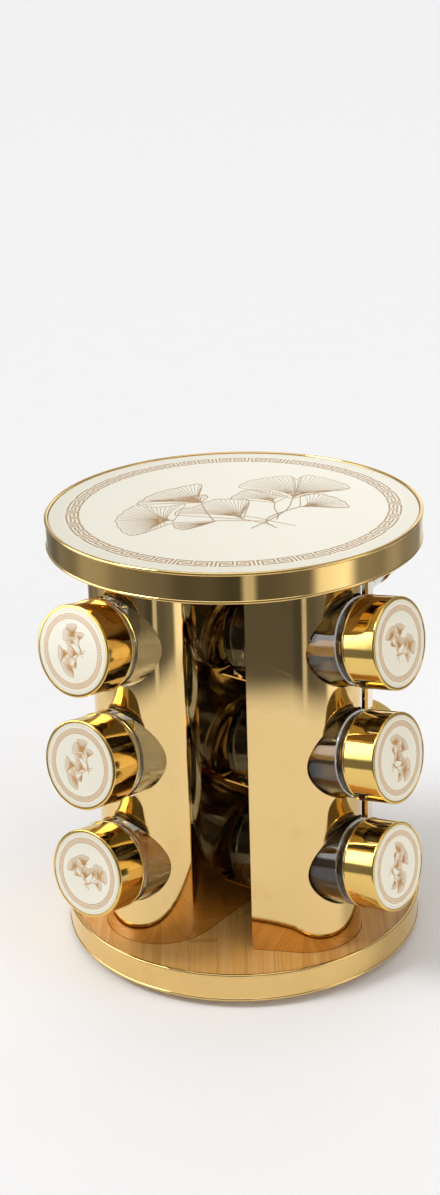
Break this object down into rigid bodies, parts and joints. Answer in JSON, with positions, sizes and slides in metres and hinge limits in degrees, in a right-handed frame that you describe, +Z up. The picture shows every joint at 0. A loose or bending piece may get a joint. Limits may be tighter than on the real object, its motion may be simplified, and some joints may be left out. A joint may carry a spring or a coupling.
{
  "type": "spice carousel",
  "caption": "Revolving countertop spice carousel: round trays top and bottom, bent gold sheet columns between them, and tilted glass spice jars with screw caps pushed into their rounded noses.",
  "frame": {"origin": "point on the turning axis at the surface that the rubber feet stand on", "axes": "+Z up along the turning axis; at rest the four columns point along +X (right), +Y (rear), -X (left) and -Y (front)"},
  "size_m": [0.224, 0.224, 0.233],
  "materials": {
    "gold_sheet": "mirror-polished gold-coloured stainless steel sheet",
    "gold_band": "mirror-polished gold-coloured spun steel band",
    "gold_cap": "polished gold-coloured metal cap",
    "clear_glass": "clear polished soda-lime glass",
    "liner_plastic": "moulded white polypropylene",
    "printed_cream": "glossy cream panel with a fine bronze-coloured print",
    "bamboo": "clear-lacquered honey-coloured bamboo",
    "core_board": "plain fibre board, hidden",
    "dark_steel": "black-painted pressed steel",
    "foot_rubber": "black rubber",
    "bearing_steel": "zinc-plated steel",
    "cage_plastic": "moulded natural nylon"
  },
  "bodies": {
    "stand": {"foot_plate": "dark_steel", "rubber_feet": "foot_rubber", "lower_race": "bearing_steel", "race_rivets": "bearing_steel"},
    "ball_ring": {"ball_cage": "cage_plastic", "bearing_balls": "bearing_steel"},
    "rack": {"upper_race": "bearing_steel", "race_screws": "bearing_steel", "base_band": "gold_band", "bamboo_floor": "bamboo", "top_band": "gold_band", "top_board": "core_board", "top_printed_panel": "printed_cream", "tie_rod": "bearing_steel", "tie_rod_nuts": "bearing_steel", "tie_rod_washers": "bearing_steel", "column_panel_right": "gold_sheet", "column_panel_rear": "gold_sheet", "column_panel_left": "gold_sheet", "column_panel_front": "gold_sheet"},
    "jar_right_bottom": {"jar_glass_right_bottom": "clear_glass"},
    "liner_right_bottom": {"cap_liner_right_bottom": "liner_plastic"},
    "cap_right_bottom": {"cap_shell_right_bottom": "gold_cap"},
    "jar_right_middle": {"jar_glass_right_middle": "clear_glass"},
    "liner_right_middle": {"cap_liner_right_middle": "liner_plastic"},
    "cap_right_middle": {"cap_shell_right_middle": "gold_cap"},
    "jar_right_top": {"jar_glass_right_top": "clear_glass"},
    "liner_right_top": {"cap_liner_right_top": "liner_plastic"},
    "cap_right_top": {"cap_shell_right_top": "gold_cap"},
    "jar_rear_bottom": {"jar_glass_rear_bottom": "clear_glass"},
    "liner_rear_bottom": {"cap_liner_rear_bottom": "liner_plastic"},
    "cap_rear_bottom": {"cap_shell_rear_bottom": "gold_cap"},
    "jar_rear_middle": {"jar_glass_rear_middle": "clear_glass"},
    "liner_rear_middle": {"cap_liner_rear_middle": "liner_plastic"},
    "cap_rear_middle": {"cap_shell_rear_middle": "gold_cap"},
    "jar_rear_top": {"jar_glass_rear_top": "clear_glass"},
    "liner_rear_top": {"cap_liner_rear_top": "liner_plastic"},
    "cap_rear_top": {"cap_shell_rear_top": "gold_cap"},
    "jar_left_bottom": {"jar_glass_left_bottom": "clear_glass"},
    "liner_left_bottom": {"cap_liner_left_bottom": "liner_plastic"},
    "cap_left_bottom": {"cap_shell_left_bottom": "gold_cap"},
    "jar_left_middle": {"jar_glass_left_middle": "clear_glass"},
    "liner_left_middle": {"cap_liner_left_middle": "liner_plastic"},
    "cap_left_middle": {"cap_shell_left_middle": "gold_cap"},
    "jar_left_top": {"jar_glass_left_top": "clear_glass"},
    "liner_left_top": {"cap_liner_left_top": "liner_plastic"},
    "cap_left_top": {"cap_shell_left_top": "gold_cap"},
    "jar_front_bottom": {"jar_glass_front_bottom": "clear_glass"},
    "liner_front_bottom": {"cap_liner_front_bottom": "liner_plastic"},
    "cap_front_bottom": {"cap_shell_front_bottom": "gold_cap"},
    "jar_front_middle": {"jar_glass_front_middle": "clear_glass"},
    "liner_front_middle": {"cap_liner_front_middle": "liner_plastic"},
    "cap_front_middle": {"cap_shell_front_middle": "gold_cap"},
    "jar_front_top": {"jar_glass_front_top": "clear_glass"},
    "liner_front_top": {"cap_liner_front_top": "liner_plastic"},
    "cap_front_top": {"cap_shell_front_top": "gold_cap"}
  },
  "joints": [
    {"name": "rack_spin", "type": "hinge", "parent": "stand", "child": "rack", "pos_m": [0, 0, 0.0065], "axis": [0, 0, 1], "continuous": true},
    {"name": "ball_ring_spin", "type": "hinge", "parent": "stand", "child": "ball_ring", "pos_m": [0, 0, 0.0065], "axis": [0, 0, 1], "continuous": true},
    {"name": "jar_right_bottom_pull", "type": "slide", "parent": "rack", "child": "jar_right_bottom", "axis": [0.9848, 0, 0.1736], "range_m": [0, 0.09]},
    {"name": "cap_right_bottom_twist", "type": "hinge", "parent": "liner_right_bottom", "child": "cap_right_bottom", "pos_m": [0.1082, -0.015, 0.069], "axis": [0.9848, 0, 0.1736], "range_deg": [0, 400]},
    {"name": "cap_right_bottom_rise", "type": "slide", "parent": "jar_right_bottom", "child": "liner_right_bottom", "axis": [0.9848, 0, 0.1736], "range_m": [0, 0.0039]},
    {"name": "jar_right_middle_pull", "type": "slide", "parent": "rack", "child": "jar_right_middle", "axis": [0.9848, 0, 0.1736], "range_m": [0, 0.09]},
    {"name": "cap_right_middle_twist", "type": "hinge", "parent": "liner_right_middle", "child": "cap_right_middle", "pos_m": [0.1082, -0.015, 0.129], "axis": [0.9848, 0, 0.1736], "range_deg": [0, 400]},
    {"name": "cap_right_middle_rise", "type": "slide", "parent": "jar_right_middle", "child": "liner_right_middle", "axis": [0.9848, 0, 0.1736], "range_m": [0, 0.0039]},
    {"name": "jar_right_top_pull", "type": "slide", "parent": "rack", "child": "jar_right_top", "axis": [0.9848, 0, 0.1736], "range_m": [0, 0.09]},
    {"name": "cap_right_top_twist", "type": "hinge", "parent": "liner_right_top", "child": "cap_right_top", "pos_m": [0.1082, -0.015, 0.189], "axis": [0.9848, 0, 0.1736], "range_deg": [0, 400]},
    {"name": "cap_right_top_rise", "type": "slide", "parent": "jar_right_top", "child": "liner_right_top", "axis": [0.9848, 0, 0.1736], "range_m": [0, 0.0039]},
    {"name": "jar_rear_bottom_pull", "type": "slide", "parent": "rack", "child": "jar_rear_bottom", "axis": [0, 0.9848, 0.1736], "range_m": [0, 0.09]},
    {"name": "cap_rear_bottom_twist", "type": "hinge", "parent": "liner_rear_bottom", "child": "cap_rear_bottom", "pos_m": [0.015, 0.1082, 0.069], "axis": [0, 0.9848, 0.1736], "range_deg": [0, 400]},
    {"name": "cap_rear_bottom_rise", "type": "slide", "parent": "jar_rear_bottom", "child": "liner_rear_bottom", "axis": [0, 0.9848, 0.1736], "range_m": [0, 0.0039]},
    {"name": "jar_rear_middle_pull", "type": "slide", "parent": "rack", "child": "jar_rear_middle", "axis": [0, 0.9848, 0.1736], "range_m": [0, 0.09]},
    {"name": "cap_rear_middle_twist", "type": "hinge", "parent": "liner_rear_middle", "child": "cap_rear_middle", "pos_m": [0.015, 0.1082, 0.129], "axis": [0, 0.9848, 0.1736], "range_deg": [0, 400]},
    {"name": "cap_rear_middle_rise", "type": "slide", "parent": "jar_rear_middle", "child": "liner_rear_middle", "axis": [0, 0.9848, 0.1736], "range_m": [0, 0.0039]},
    {"name": "jar_rear_top_pull", "type": "slide", "parent": "rack", "child": "jar_rear_top", "axis": [0, 0.9848, 0.1736], "range_m": [0, 0.09]},
    {"name": "cap_rear_top_twist", "type": "hinge", "parent": "liner_rear_top", "child": "cap_rear_top", "pos_m": [0.015, 0.1082, 0.189], "axis": [0, 0.9848, 0.1736], "range_deg": [0, 400]},
    {"name": "cap_rear_top_rise", "type": "slide", "parent": "jar_rear_top", "child": "liner_rear_top", "axis": [0, 0.9848, 0.1736], "range_m": [0, 0.0039]},
    {"name": "jar_left_bottom_pull", "type": "slide", "parent": "rack", "child": "jar_left_bottom", "axis": [-0.9848, 0, 0.1736], "range_m": [0, 0.09]},
    {"name": "cap_left_bottom_twist", "type": "hinge", "parent": "liner_left_bottom", "child": "cap_left_bottom", "pos_m": [-0.1082, 0.015, 0.069], "axis": [-0.9848, 0, 0.1736], "range_deg": [0, 400]},
    {"name": "cap_left_bottom_rise", "type": "slide", "parent": "jar_left_bottom", "child": "liner_left_bottom", "axis": [-0.9848, 0, 0.1736], "range_m": [0, 0.0039]},
    {"name": "jar_left_middle_pull", "type": "slide", "parent": "rack", "child": "jar_left_middle", "axis": [-0.9848, 0, 0.1736], "range_m": [0, 0.09]},
    {"name": "cap_left_middle_twist", "type": "hinge", "parent": "liner_left_middle", "child": "cap_left_middle", "pos_m": [-0.1082, 0.015, 0.129], "axis": [-0.9848, 0, 0.1736], "range_deg": [0, 400]},
    {"name": "cap_left_middle_rise", "type": "slide", "parent": "jar_left_middle", "child": "liner_left_middle", "axis": [-0.9848, 0, 0.1736], "range_m": [0, 0.0039]},
    {"name": "jar_left_top_pull", "type": "slide", "parent": "rack", "child": "jar_left_top", "axis": [-0.9848, 0, 0.1736], "range_m": [0, 0.09]},
    {"name": "cap_left_top_twist", "type": "hinge", "parent": "liner_left_top", "child": "cap_left_top", "pos_m": [-0.1082, 0.015, 0.189], "axis": [-0.9848, 0, 0.1736], "range_deg": [0, 400]},
    {"name": "cap_left_top_rise", "type": "slide", "parent": "jar_left_top", "child": "liner_left_top", "axis": [-0.9848, 0, 0.1736], "range_m": [0, 0.0039]},
    {"name": "jar_front_bottom_pull", "type": "slide", "parent": "rack", "child": "jar_front_bottom", "axis": [0, -0.9848, 0.1736], "range_m": [0, 0.09]},
    {"name": "cap_front_bottom_twist", "type": "hinge", "parent": "liner_front_bottom", "child": "cap_front_bottom", "pos_m": [-0.015, -0.1082, 0.069], "axis": [0, -0.9848, 0.1736], "range_deg": [0, 400]},
    {"name": "cap_front_bottom_rise", "type": "slide", "parent": "jar_front_bottom", "child": "liner_front_bottom", "axis": [0, -0.9848, 0.1736], "range_m": [0, 0.0039]},
    {"name": "jar_front_middle_pull", "type": "slide", "parent": "rack", "child": "jar_front_middle", "axis": [0, -0.9848, 0.1736], "range_m": [0, 0.09]},
    {"name": "cap_front_middle_twist", "type": "hinge", "parent": "liner_front_middle", "child": "cap_front_middle", "pos_m": [-0.015, -0.1082, 0.129], "axis": [0, -0.9848, 0.1736], "range_deg": [0, 400]},
    {"name": "cap_front_middle_rise", "type": "slide", "parent": "jar_front_middle", "child": "liner_front_middle", "axis": [0, -0.9848, 0.1736], "range_m": [0, 0.0039]},
    {"name": "jar_front_top_pull", "type": "slide", "parent": "rack", "child": "jar_front_top", "axis": [0, -0.9848, 0.1736], "range_m": [0, 0.09]},
    {"name": "cap_front_top_twist", "type": "hinge", "parent": "liner_front_top", "child": "cap_front_top", "pos_m": [-0.015, -0.1082, 0.189], "axis": [0, -0.9848, 0.1736], "range_deg": [0, 400]},
    {"name": "cap_front_top_rise", "type": "slide", "parent": "jar_front_top", "child": "liner_front_top", "axis": [0, -0.9848, 0.1736], "range_m": [0, 0.0039]}
  ],
  "couplings": [
    {"joint": "ball_ring_spin", "follows": "rack_spin", "ratio": 0.5},
    {"joint": "cap_right_bottom_rise", "follows": "cap_right_bottom_twist", "m_per_rad": 0.00055704},
    {"joint": "cap_right_middle_rise", "follows": "cap_right_middle_twist", "m_per_rad": 0.00055704},
    {"joint": "cap_right_top_rise", "follows": "cap_right_top_twist", "m_per_rad": 0.00055704},
    {"joint": "cap_rear_bottom_rise", "follows": "cap_rear_bottom_twist", "m_per_rad": 0.00055704},
    {"joint": "cap_rear_middle_rise", "follows": "cap_rear_middle_twist", "m_per_rad": 0.00055704},
    {"joint": "cap_rear_top_rise", "follows": "cap_rear_top_twist", "m_per_rad": 0.00055704},
    {"joint": "cap_left_bottom_rise", "follows": "cap_left_bottom_twist", "m_per_rad": 0.00055704},
    {"joint": "cap_left_middle_rise", "follows": "cap_left_middle_twist", "m_per_rad": 0.00055704},
    {"joint": "cap_left_top_rise", "follows": "cap_left_top_twist", "m_per_rad": 0.00055704},
    {"joint": "cap_front_bottom_rise", "follows": "cap_front_bottom_twist", "m_per_rad": 0.00055704},
    {"joint": "cap_front_middle_rise", "follows": "cap_front_middle_twist", "m_per_rad": 0.00055704},
    {"joint": "cap_front_top_rise", "follows": "cap_front_top_twist", "m_per_rad": 0.00055704}
  ]
}
